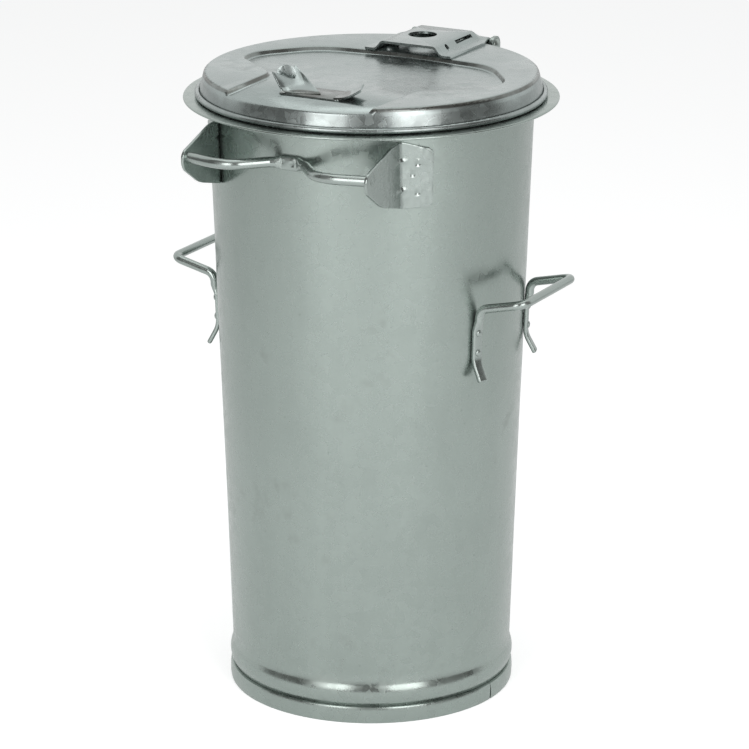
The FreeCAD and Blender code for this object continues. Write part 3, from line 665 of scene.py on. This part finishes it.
def bar_mesh():
    """Round rod bent in a W, its middle pressed flat against the wall and welded."""
    wall = wall_radius(BAR_HEIGHT)
    pad_out, pad_tall, pad_deep = 3.1, 7.0, 3.0
    half = [((9.0, -wall - pad_out + 0.3, 0), 10.0), ((15.5, -wall - 4.9, 0), 9.0),
            ((20.5, -wall - 7.6, 0), 12.0), ((45.8, -wall - 34.6, 0), 25.0),
            ((66.0, -wall - 37.4, 0), 50.0), ((CHEEK_INNER + 1.5, BAR_END, 0), 0)]
    left = [((-p[0], p[1], 0), r) for p, r in reversed(half)]
    middle = [((x, -wall - pad_out, 0), 0) for x in (-5, 0, 5)]
    points = close_set(rounded(left + middle + half, 6), 2.2)
    sections = []
    for p in points:
        share = eased((abs(p.x) - 8.0) / 8.0)
        sections.append((pad_tall + (BAR_RADIUS - pad_tall) * share,
                         pad_deep + (BAR_RADIUS - pad_deep) * share, 0.62 + 0.38 * share))
    bm = bmesh.new()
    swept(bm, points, sections, AXIS_UP, AXIS_UP, 28)
    bmesh.ops.translate(bm, verts=bm.verts, vec=(0, 0, BAR_HEIGHT))
    for v in bm.verts:
        if abs(v.co.x) < 17 and v.co.y < -wall - 2.5:
            v.co.y += pad_relief(v.co)
    return bm


# the plate's outline laid flat: forward of the bend (negative) and along the wall
# (positive), height above the bar, rounding
CHEEK_OUTLINE = [(38.4, 16.6, 6.0), (38.4, -42.0, 6.0), (6.0, -42.0, 20.0),
                 (-36.2, -31.5, 45.0), (-67.4, -10.5, 13.0), (-67.4, 6.0, 8.5),
                 (-17.0, 23.4, 14.0), (6.0, 26.0, 12.0)]
CHEEK_BEND = 9.0
CHEEK_TANGENT = -134.8          # where the flat side plate starts to bend
# weld marks: along, up, width, depth
CHEEK_MARKS = ((22.0, 3.5, 2.6, 0.9), (17.0, -7.5, 2.3, 1.3), (22.5, -26.5, 2.4, 1.1))
CHEEK_RIBS = (6.0, -23.5)       # heights above the bar


def cheek_wrap(along, z):
    """Place and outward normal on the plate's wall side, for a flat place."""
    wall = wall_radius(z) + LYING
    centre_x = CHEEK_INNER + CHEEK_BEND
    centre_y = -math.sqrt((wall + CHEEK_BEND) ** 2 - centre_x ** 2)
    along -= centre_y - CHEEK_TANGENT
    if along < 0:
        return Vector((CHEEK_INNER, centre_y + along, z)), Vector((1, 0, 0))
    full_turn = math.pi - math.atan2(-centre_y, -centre_x)
    if along < CHEEK_BEND * full_turn:
        angle = math.pi - along / CHEEK_BEND
        way = Vector((math.cos(angle), math.sin(angle), 0))
        return Vector((centre_x, centre_y, z)) + way * CHEEK_BEND, -way
    along -= CHEEK_BEND * full_turn
    angle = math.atan2(centre_y, centre_x) + along / wall
    out = Vector((math.cos(angle), math.sin(angle), 0))
    return Vector((out.x * wall, out.y * wall, z)), out


def cheek_mesh(side, shift):
    """Plate bent from the bar's end on to the wall, with pressed ribs and weld marks."""
    bm = bmesh.new()
    flat_sheet(bm, CHEEK_OUTLINE, CHEEK_SHEET, 1.7)
    for v in bm.verts:
        along, depth, up = v.co
        face = depth / CHEEK_SHEET
        push = 0.0
        for rib in CHEEK_RIBS:
            push += 1.5 * gauss(up - rib, 1.7) * gauss(along - 3.0, 6.5) ** 0.8
        for x, z, width, deep in CHEEK_MARKS:
            away = math.hypot(along - x, up - z)
            push += face * (0.55 * gauss(away - width * 1.5, 1.0) - deep * gauss(away, width))
        # the bar's welded end, with the small pit left in its middle
        weld = gauss(math.hypot(along + 58.7, up), 5.2)
        pit = gauss(math.hypot(along + 57.5, up + 0.5), 1.8)
        push += face * (0.8 * weld - 1.5 * pit)
        lump = noise.noise(Vector((along, up, 5.0 + shift)) * 0.23)
        push += face * 0.35 * lump * (1.0 if along > 8 else 0.25)
        z = BAR_HEIGHT + up
        place, normal = cheek_wrap(along, z)
        v.co = place + normal * (depth + push)
    if side < 0:
        bmesh.ops.scale(bm, verts=bm.verts, vec=(-1, 1, 1))
    return bm


# ---------------------------------------------------------------- handles


def leg_angle():
    """Angle from straight sideways, in degrees, at which a handle's legs are."""
    return math.degrees(math.asin(HANDLE_SPAN / (wall_radius(HANDLE_HEIGHT - 19.0) + 5.0)))


def handle_mesh(side):
    """Lifting bail: a round rod with two legs that are flattened on to the wall."""
    radius, flat_half, flat_depth = 4.5, 6.0, 2.5
    angle = leg_angle()
    tops = [on_wall(a, HANDLE_HEIGHT - 11.0, 4.9) for a in (-angle, angle)]
    reach, grip_z = tops[0].x + 49.5, HANDLE_HEIGHT + 11.5
    flare = math.radians(28.0)
    legs = []
    for a, top in zip((-angle, angle), tops):
        knee = on_wall(a, HANDLE_HEIGHT - 55.0, 2.6)
        foot = knee + (outward(a) * math.sin(flare) - AXIS_UP * math.cos(flare)) * 22.0
        upper = on_wall(a, HANDLE_HEIGHT - 22.0, 2.6)
        legs.append([(foot, 0), (knee, 26.0), (upper, 20.0), (top, 8.0),
                     (Vector((top.x, top.y, HANDLE_HEIGHT)), 11.5)])
    corners = [(Vector((reach, y, grip_z)), 10.5) for y in (-HANDLE_SPAN, HANDLE_SPAN)]
    points = close_set(rounded(legs[0] + corners + list(reversed(legs[1])), 8), 4.0)
    sections = []
    for p in points:
        below = HANDLE_HEIGHT - p.z
        share = eased((24.0 - below) / 13.0)
        sections.append((flat_half + (radius - flat_half) * share,
                         flat_depth + (radius - flat_depth) * share, 0.55 + 0.45 * share))
    points, sections = domed_ends(points, sections, 1.6)
    first, last = (AXIS_UP.cross(outward(a)) for a in (-angle, angle))
    bm = bmesh.new()
    swept(bm, points, sections, first, -last, 26)
    put_on_side(bm, side)
    return bm


def put_on_side(bm, side):
    """Leaves a right-hand piece as it is, or makes the lower left-hand one of it."""
    if side < 0:
        bmesh.ops.scale(bm, verts=bm.verts, vec=(-1, 1, 1))
        bmesh.ops.translate(bm, verts=bm.verts,
                            vec=(TAPER * LEFT_HANDLE_DROP, 0, -LEFT_HANDLE_DROP))


def rivet_heads_mesh(side):
    """Domed heads outside and flat tails inside, two in each leg."""
    bm = bmesh.new()
    angle = leg_angle()
    head = [(3.6 * math.cos(math.radians(t)), 1.8 * math.sin(math.radians(t)))
            for t in (90, 70, 50, 32, 16, 5)]
    profile = ([(0.0, head[0][1])] + head[1:] + [(3.6, 0.0), (1.9, 0.0), (1.9, -6.3), (3.4, -6.3),
                                                  (3.4, -7.0), (2.6, -7.5), (0.0, -7.5)])
    for a in (-angle, angle):
        for down in LEG_RIVETS:
            seat = on_wall(a, HANDLE_HEIGHT - down, 5.15)
            out = outward(a) - AXIS_UP * TAPER
            before = set(bm.verts)
            spun(bm, profile, 28, closed=False)
            new = [v for v in bm.verts if v not in before]
            turn = out.to_track_quat("Z", "Y").to_matrix().to_4x4()
            bmesh.ops.transform(bm, matrix=Matrix.Translation(seat) @ turn, verts=new)
    put_on_side(bm, side)
    return bm


# ---------------------------------------------------------------- lid grip

# places across each row: sideways from the middle, back from the grip's front, up
SCOOP_ROWS = [((-46.0, 1.0, 21.8), (-38.5, 21.0, 15.2), (-40.4, 38.0, 21.8)),
              ((-40.5, 1.0, 12.2), (-27.0, 19.0, 6.2), (-22.5, 30.0, 13.6)),
              ((-36.5, 1.0, 5.8), (-19.5, 12.0, 2.6), (-8.0, 20.5, 7.0)),
              ((-33.0, 1.0, 1.9), (-14.5, 6.5, 1.6), (4.0, 12.0, 1.9))]
TIP_ROWS = [((56.0, 1.5, 14.0), (46.5, 17.0, 8.6), (42.5, 32.0, 12.2)),
            ((44.0, 1.0, 6.8), (38.0, 17.6, 4.0), (34.0, 33.0, 6.4)),
            ((33.0, 1.0, 2.9), (29.5, 18.0, 1.8), (27.0, 34.0, 2.9)),
            ((24.0, 1.0, 1.8), (22.5, 18.3, 1.6), (21.0, 35.5, 1.8))]


def grip_mesh():
    """Pressed grip: a flat base, a tall scoop at the left and a low one at the right."""
    bm = bmesh.new()
    outline = [(-38.0, 0.0, 3.0), (30.0, 0.0, 4.0), (30.0, 37.0, 4.0), (-38.0, 37.0, 3.0)]
    flat_sheet(bm, outline, 2.0, 200.0, 0.7)
    for v in bm.verts:
        x, thick, back = v.co
        wavy = 0.35 * noise.noise(Vector((x, back, 3.0)) * 0.16) * (thick / 2.0)
        v.co = Vector((x, GRIP_FRONT + back, PANEL + LYING + thick + wavy))
    for rows, over in ((SCOOP_ROWS, 22), (TIP_ROWS, 16)):
        placed = [[(x, GRIP_FRONT + back, PANEL + up) for x, back, up in row] for row in rows]
        scoop = bmesh.new()
        curved_sheet(scoop, placed, 18, over)
        if sum(f.normal.z for f in scoop.faces) > 0:
            bmesh.ops.reverse_faces(scoop, faces=scoop.faces)
        bmesh.ops.solidify(scoop, geom=scoop.faces[:], thickness=1.7)
        bmesh.ops.recalc_face_normals(scoop, faces=scoop.faces)
        soften(scoop, 0.9, 0.45)
        join_to(bm, scoop)
    join_to(bm, tongue_mesh())
    return bm


def tongue_mesh():
    """Half-round tongue behind the scoop's edge, upright and turned to the front right."""
    tongue = bmesh.new()
    bmesh.ops.create_circle(tongue, cap_ends=True, segments=48, radius=9.8)
    bmesh.ops.bisect_plane(tongue, geom=everything(tongue), plane_co=(0, -2.5, 0),
                           plane_no=(0, 1, 0), clear_inner=True)
    thicken(tongue, (0, 0, 2.0))
    soften(tongue, 1.0, 0.5)
    turn = Matrix.Rotation(math.radians(28.5), 4, "Z") @ Matrix.Rotation(math.pi / 2, 4, "X")
    place = Matrix.Translation((-40.0, -103.5, 666.6))
    bmesh.ops.transform(tongue, matrix=place @ turn, verts=tongue.verts)
    return tongue


# ---------------------------------------------------------------- pieces


class CAN_OT_body(bpy.types.Operator):
    """Wall, floor, foot hoop and the ring at the mouth"""

    bl_idname = "can.body"
    bl_label = "Can body"

    def execute(self, context):
        finish_copies(["floor_pan"])
        for node, mesh in (("body_shell", wall_mesh), ("base_hoop", hoop_mesh),
                           ("rim_flange", flange_mesh)):
            finished(mesh(), node + "_finished", "can", "wall_zinc",
                     replaced=(node,))
        return {"FINISHED"}


class CAN_OT_bar(bpy.types.Operator):
    """Front bar and its two cheek plates"""

    bl_idname = "can.bar"
    bl_label = "Front bar"

    def execute(self, context):
        finished(bar_mesh(), "front_bar_finished", "can", "fittings_zinc",
                 replaced=("front_bar",))
        for name, side in (("right", 1), ("left", -1)):
            node = "cheek_plate_" + name
            finished(cheek_mesh(side, 10 * side), node + "_finished", "can",
                     "fittings_zinc", replaced=(node,))
        return {"FINISHED"}


class CAN_OT_handles(bpy.types.Operator):
    """Lifting handles and their rivets"""

    bl_idname = "can.handles"
    bl_label = "Lifting handles"

    def execute(self, context):
        for name, side in (("right", 1), ("left", -1)):
            for node, mesh in (("side_handle_", handle_mesh), ("handle_rivets_", rivet_heads_mesh)):
                finished(mesh(side), node + name + "_finished", "can",
                         "fittings_zinc", replaced=(node + name,))
        return {"FINISHED"}


class CAN_OT_hinge(bpy.types.Operator):
    """Hinge ears, pin, washers and rivets"""

    bl_idname = "can.hinge"
    bl_label = "Hinge"

    def execute(self, context):
        finish_copies(["hinge_ear_left", "hinge_ear_right", "ear_rivets_left",
                       "ear_rivets_right", "hinge_pin", "hinge_washers"])
        return {"FINISHED"}


class CAN_OT_lid(bpy.types.Operator):
    """Lid with its rim wire, grip and hinge strap"""

    bl_idname = "can.lid"
    bl_label = "Lid"

    def execute(self, context):
        finish_copies(["lid_pan", "lid_rim_wire", "hinge_strap"])
        finished(grip_mesh(), "lid_grip_finished", "lid", "lid_zinc",
                 replaced=("lid_grip",))
        return {"FINISHED"}


# ---------------------------------------------------------------- stage


def aim(obj, target):
    direction = Vector(target) - obj.location
    obj.rotation_euler = direction.to_track_quat("-Z", "Y").to_euler()


def around(azimuth, elevation, distance, centre=(0.0, 0.0, 0.33)):
    """A place seen from the centre at an azimuth (0 is the front) and elevation."""
    a, e = math.radians(azimuth), math.radians(elevation)
    way = Vector((math.sin(a) * math.cos(e), -math.cos(a) * math.cos(e), math.sin(e)))
    return Vector(centre) + way * distance


def softbox(name, azimuth, elevation, distance, size, power, tint=(1.0, 1.0, 1.0)):
    data = bpy.data.lights.new(name, "AREA")
    data.shape = "RECTANGLE"
    data.size, data.size_y = size
    data.energy = power
    data.color = tint
    lamp = bpy.data.objects.new(name, data)
    lamp.location = around(azimuth, elevation, distance)
    aim(lamp, (0.0, 0.0, 0.4))
    lamp.visible_camera = False
    bpy.context.scene.collection.objects.link(lamp)


def stage_object(name, bm, material):
    mesh = bpy.data.meshes.new(name)
    bm.to_mesh(mesh)
    bm.free()
    mesh.materials.append(material)
    obj = bpy.data.objects.new(name, mesh)
    bpy.context.scene.collection.objects.link(obj)
    return obj


def floor_finish(tint):
    """Pale floor that keeps shadows and is white where it is lit."""
    f = Finish("floor_paper")
    path = f.add("ShaderNodeLightPath", output="Is Camera Ray")
    gloss = f.add("ShaderNodeLightPath", output="Is Glossy Ray")
    matt = f.add("ShaderNodeBsdfDiffuse", inputs={"Color": tuple(tint)})
    glow = f.add("ShaderNodeEmission", inputs={"Color": (1.0, 1.0, 1.0),
                                               "Strength": path * 0.5 + gloss * 0.3})
    both = f.add("ShaderNodeAddShader", inputs={0: matt, 1: glow})
    f.add("ShaderNodeOutputMaterial", inputs={"Surface": both})
    return f.material


def cloth_finish(level):
    """Dark cloth of the studio on the camera's side, seen only in reflections."""
    f = Finish("studio_cloth")
    glow = f.add("ShaderNodeEmission", inputs={"Color": (level, level * 0.98, level * 0.95),
                                               "Strength": 1.0})
    f.add("ShaderNodeOutputMaterial", inputs={"Surface": glow})
    return f.material


def world_light(ambient):
    """White world, full where it is seen or reflected and weaker as a light."""
    world = bpy.data.worlds.new("studio")
    bpy.context.scene.world = world
    world.use_nodes = True
    tree = world.node_tree
    tree.nodes.clear()
    path = tree.nodes.new("ShaderNodeLightPath")
    seen = Value(tree, path.outputs["Is Camera Ray"])
    shown = seen + Value(tree, path.outputs["Is Glossy Ray"])
    shown = shown + Value(tree, path.outputs["Is Transmission Ray"])
    strength = shown.capped(1.0) * (1.0 - ambient) + ambient
    back = tree.nodes.new("ShaderNodeBackground")
    plug(tree, back.inputs["Color"], (1.0, 1.0, 1.0))
    plug(tree, back.inputs["Strength"], strength)
    out = tree.nodes.new("ShaderNodeOutputWorld")
    tree.links.new(back.outputs[0], out.inputs["Surface"])


def studio_cloth(camera_place):
    """Dark dome on the camera's side of the can, seen only in reflections."""
    bm = bmesh.new()
    bmesh.ops.create_uvsphere(bm, u_segments=64, v_segments=32, radius=6.5)
    front = Vector((camera_place[0], camera_place[1], 0.0)).normalized()
    for place, normal in ((front * -0.5, front), (AXIS_UP * 0.02, AXIS_UP)):
        bmesh.ops.bisect_plane(bm, geom=everything(bm), plane_co=place, plane_no=normal,
                               clear_inner=True)
    bmesh.ops.reverse_faces(bm, faces=bm.faces)
    cloth = stage_object("studio_cloth", bm, cloth_finish(0.16))
    cloth.visible_camera = False
    cloth.visible_diffuse = False
    cloth.visible_shadow = False
    cloth.visible_transmission = False


def lamps(camera_place, power):
    """A tall softbox on each side of the camera, and a wide one above."""
    front = math.degrees(math.atan2(camera_place[0], -camera_place[1]))
    warm = (1.0, 0.97, 0.98)
    softbox("lamp_left", front - 29, 20, 2.6, (1.15, 1.9), power, warm)
    softbox("lamp_right", front + 27, 20, 2.6, (1.25, 1.9), power * 1.15, warm)
    softbox("lamp_top", front, 85, 2.8, (2.6, 2.6), power * 0.9)


def camera(settings):
    data = bpy.data.cameras.new("camera")
    data.sensor_width = 36.0
    data.lens = settings.lens
    data.shift_x = settings.shift
    data.dof.use_dof = False
    data.clip_end = 100.0
    obj = bpy.data.objects.new("camera", data)
    obj.location = settings.camera_place
    aim(obj, settings.look_at)
    bpy.context.scene.collection.objects.link(obj)
    bpy.context.scene.camera = obj


class CAN_OT_stage(bpy.types.Operator):
    """Floor, lamps, world and camera"""

    bl_idname = "can.stage"
    bl_label = "Stage"

    def execute(self, context):
        s = context.scene.stage_settings
        context.scene.view_settings.view_transform = "Standard"
        bm = bmesh.new()
        bmesh.ops.create_grid(bm, x_segments=1, y_segments=1, size=20.0)
        stage_object("floor", bm, floor_finish(s.floor_tint))
        studio_cloth(s.camera_place)
        lamps(s.camera_place, s.lamp_power)
        world_light(0.45)
        camera(s)
        return {"FINISHED"}


# ---------------------------------------------------------------- panel and run


class CAN_PT_panel(bpy.types.Panel):
    """Lists the steps of the can and its settings"""

    bl_idname = "CAN_PT_panel"
    bl_label = "Trash can"
    bl_space_type = "VIEW_3D"
    bl_region_type = "UI"
    bl_category = "Trash can"

    def draw(self, context):
        for settings in (context.scene.can_settings, context.scene.stage_settings):
            box = self.layout.box()
            for name in settings.__annotations__:
                box.prop(settings, name)
        for step in STEPS:
            self.layout.operator(step.bl_idname)


STEPS = (CAN_OT_body, CAN_OT_bar, CAN_OT_handles, CAN_OT_hinge, CAN_OT_lid, CAN_OT_stage)
CLASSES = (CanSettings, StageSettings) + STEPS + (CAN_PT_panel,)


def register():
    for cls in CLASSES:
        bpy.utils.register_class(cls)
    bpy.types.Scene.can_settings = PointerProperty(type=CanSettings)
    bpy.types.Scene.stage_settings = PointerProperty(type=StageSettings)


def unregister():
    del bpy.types.Scene.can_settings
    del bpy.types.Scene.stage_settings
    for cls in reversed(CLASSES):
        bpy.utils.unregister_class(cls)


def main():
    register()
    bpy.ops.can.body()
    bpy.ops.can.bar()
    bpy.ops.can.handles()
    bpy.ops.can.hinge()
    bpy.ops.can.lid()
    bpy.ops.can.stage()


if __name__ == "__main__":
    main()
